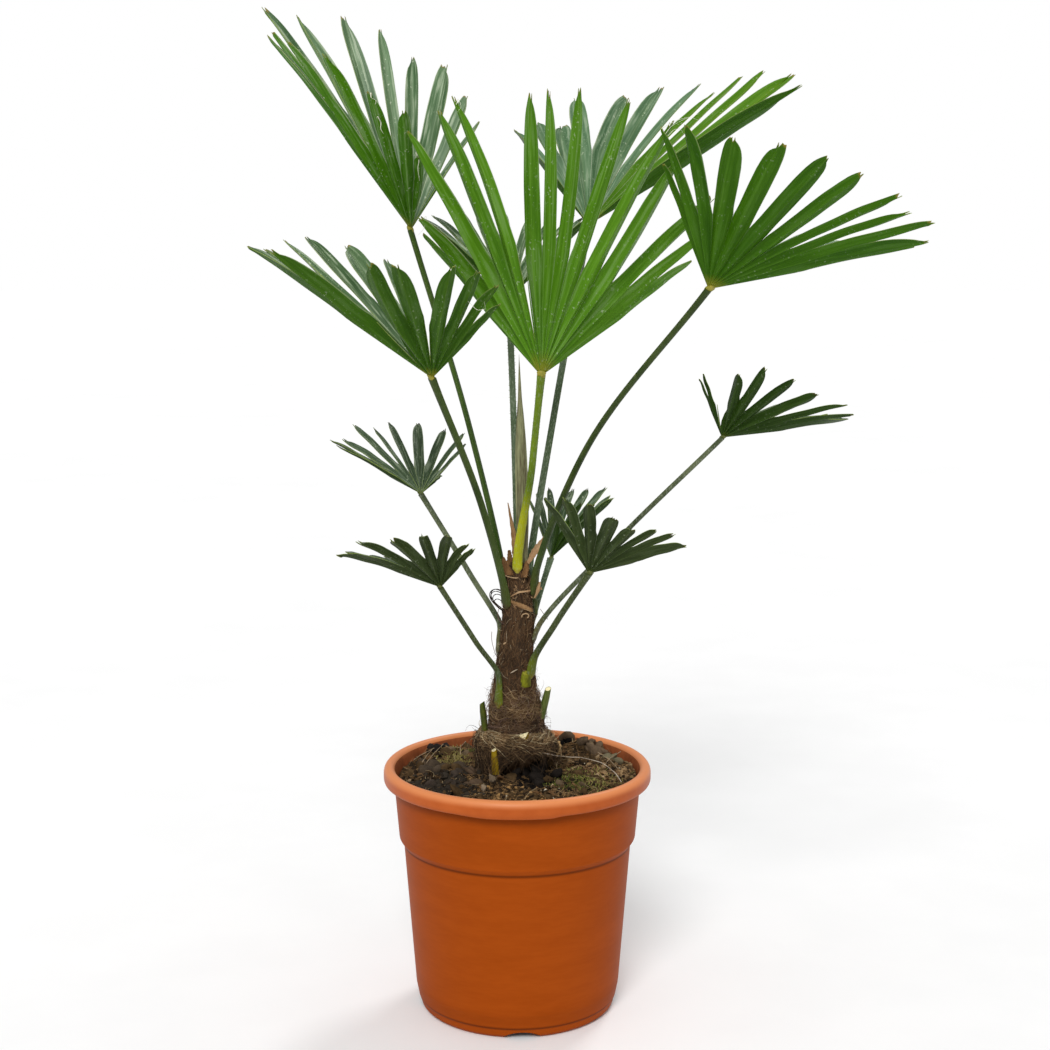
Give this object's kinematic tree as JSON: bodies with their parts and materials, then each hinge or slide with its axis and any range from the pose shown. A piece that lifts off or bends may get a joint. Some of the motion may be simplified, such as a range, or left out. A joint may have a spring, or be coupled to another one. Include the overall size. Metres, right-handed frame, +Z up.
{
  "type": "potted windmill palm",
  "caption": "Young fan palm on a short fibrous trunk, with stiff cupped fronds on long stalks, in a round nursery pot filled with soil.",
  "frame": {"origin": "centre of the pot's flat underside", "axes": "+Z up along the pot's axis, +Y away from the viewer of the picture, +X to the viewer's right"},
  "size_m": [0.6843, 0.5504, 1.114],
  "materials": {
    "pot": "satin",
    "soil": "matte",
    "bark": "matte",
    "fibre": "matte",
    "stalk": "satin",
    "blade": "satin",
    "spear": "matte"
  },
  "bodies": {
    "root": {"pot": "pot", "soil": "soil", "trunk": "bark", "fibre_collar": "fibre", "stub_left": "stalk", "stub_right": "stalk", "stub_front": "stalk", "stub_cut": "stalk", "stub_high": "stalk", "spear_leaf": "spear", "stalk_front": "stalk", "blade_front": "blade", "stalk_right_high": "stalk", "blade_right_high": "blade", "stalk_left_high": "stalk", "blade_left_high": "blade", "stalk_left_middle": "stalk", "blade_left_middle": "blade", "stalk_back_right": "stalk", "blade_back_right": "blade", "stalk_back_left": "stalk", "blade_back_left": "blade", "stalk_right_middle": "stalk", "blade_right_middle": "blade", "stalk_left_low": "stalk", "blade_left_low": "blade", "stalk_left_lowest": "stalk", "blade_left_lowest": "blade", "stalk_right_low": "stalk", "blade_right_low": "blade", "stalk_back_low": "stalk", "blade_back_low": "blade"}
  },
  "joints": []
}
